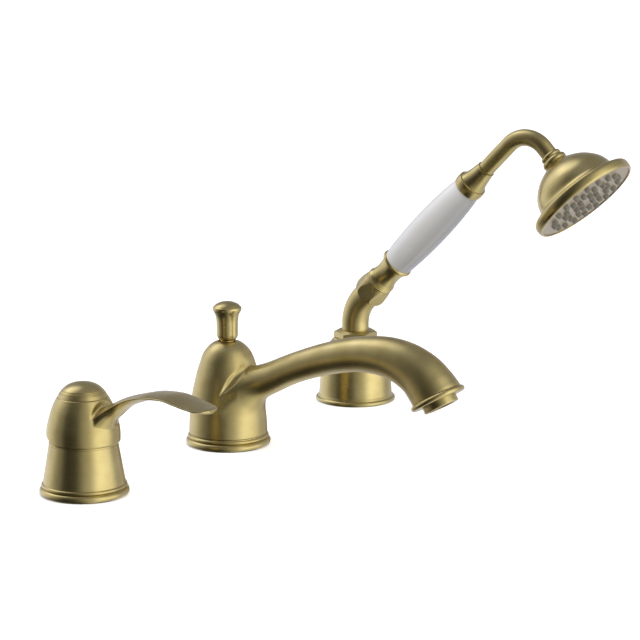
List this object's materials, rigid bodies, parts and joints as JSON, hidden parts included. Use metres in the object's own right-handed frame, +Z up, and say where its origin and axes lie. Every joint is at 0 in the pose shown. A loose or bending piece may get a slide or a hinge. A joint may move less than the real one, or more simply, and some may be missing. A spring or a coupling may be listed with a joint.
{
  "type": "bath shower mixer",
  "caption": "Deck-mounted bath filler set: lever mixing valve, curved spout with pull-up diverter, and a holder with a pull-out hand shower on a porcelain grip.",
  "frame": {"origin": "centre of the spout's foot on the deck", "axes": "+Z up out of the deck; the units stand in a row along X, mixer at -X, hand shower at +X; spout, lever and hand shower reach out along -Y"},
  "size_m": [0.3813, 0.2457, 0.2892],
  "materials": {
    "antique_brass": "satin, brushed antique brass",
    "raw_brass": "machined, dull",
    "satin_face": "satin, pale",
    "white_porcelain": "gloss",
    "black_rubber": "matt",
    "nozzle_silicone": "matt",
    "cartridge_plastic": "matt",
    "disc_ceramic": "polished",
    "steel": "satin"
  },
  "bodies": {
    "base": {"mixer_foot_ring": "antique_brass", "mixer_skirt": "antique_brass", "mixer_gasket": "black_rubber", "mixer_valve_body": "raw_brass", "mixer_shank": "raw_brass", "skirt_collar": "raw_brass", "cartridge_port_seals": "black_rubber", "cartridge_base": "cartridge_plastic", "cartridge_housing": "cartridge_plastic", "fixed_ceramic_disc": "disc_ceramic", "cartridge_nut": "raw_brass", "under_seals": "black_rubber", "clamp_washers": "steel", "lock_nuts": "raw_brass", "spout_foot_ring": "antique_brass", "spout_gasket": "black_rubber", "spout_shank": "raw_brass", "spout_body": "antique_brass", "spout_manifold": "raw_brass", "diverter_cage": "raw_brass", "diverter_outlet_tube": "steel", "diverter_bush": "raw_brass", "spout_tip_ring": "antique_brass", "aerator_housing": "antique_brass", "aerator_insert": "cartridge_plastic", "aerator_washer": "black_rubber", "holder_body": "antique_brass", "holder_gasket": "black_rubber", "holder_shank": "raw_brass", "holder_guide": "cartridge_plastic"},
    "mixer_carrier": {"cartridge_rotor": "cartridge_plastic", "spindle_pin": "steel"},
    "mixer_handle": {"hood_lever": "antique_brass", "hood_cap": "antique_brass", "handle_screw": "steel", "spindle": "raw_brass"},
    "mixing_disc": {"disc_driver": "cartridge_plastic", "moving_ceramic_disc": "disc_ceramic"},
    "diverter": {"diverter_knob": "antique_brass", "diverter_stem": "raw_brass", "diverter_disc": "raw_brass", "diverter_washers": "black_rubber"},
    "hose_end": {"hose_tail": "raw_brass"},
    "hand_shower": {"elbow_washer": "black_rubber", "elbow": "antique_brass", "union_washer": "black_rubber", "handset_nut": "antique_brass", "handset_flare": "antique_brass", "inner_tube": "raw_brass", "porcelain_grip": "white_porcelain", "upper_ferrule": "antique_brass", "gooseneck": "antique_brass", "head_collar": "antique_brass", "head_shell": "antique_brass", "face_plate": "satin_face", "spray_nozzles": "nozzle_silicone"}
  },
  "joints": [
    {"name": "mixer_turn", "type": "hinge", "parent": "base", "child": "mixer_carrier", "pos_m": [-0.1567, 0, 0.03643], "axis": [0, 0, 1], "range_deg": [-50, 50]},
    {"name": "mixer_lift", "type": "hinge", "parent": "mixer_carrier", "child": "mixer_handle", "pos_m": [-0.1567, 0, 0.03643], "axis": [-1, 0, 0], "range_deg": [0, 18]},
    {"name": "disc_slide", "type": "slide", "parent": "mixer_carrier", "child": "mixing_disc", "axis": [0, -1, 0], "range_m": [0, 0.0033]},
    {"name": "diverter_pull", "type": "slide", "parent": "base", "child": "diverter", "axis": [0, 0, 1], "range_m": [0, 0.008]},
    {"name": "handset_lift", "type": "slide", "parent": "base", "child": "hose_end", "axis": [0, 0, 1], "range_m": [0, 0.06]},
    {"name": "handset_turn", "type": "hinge", "parent": "hose_end", "child": "hand_shower", "pos_m": [0.1567, 0, 0.048], "axis": [0, 0, 1], "range_deg": [-180, 180]}
  ],
  "couplings": [
    {"joint": "disc_slide", "follows": "mixer_lift", "m_per_rad": 0.01033}
  ]
}
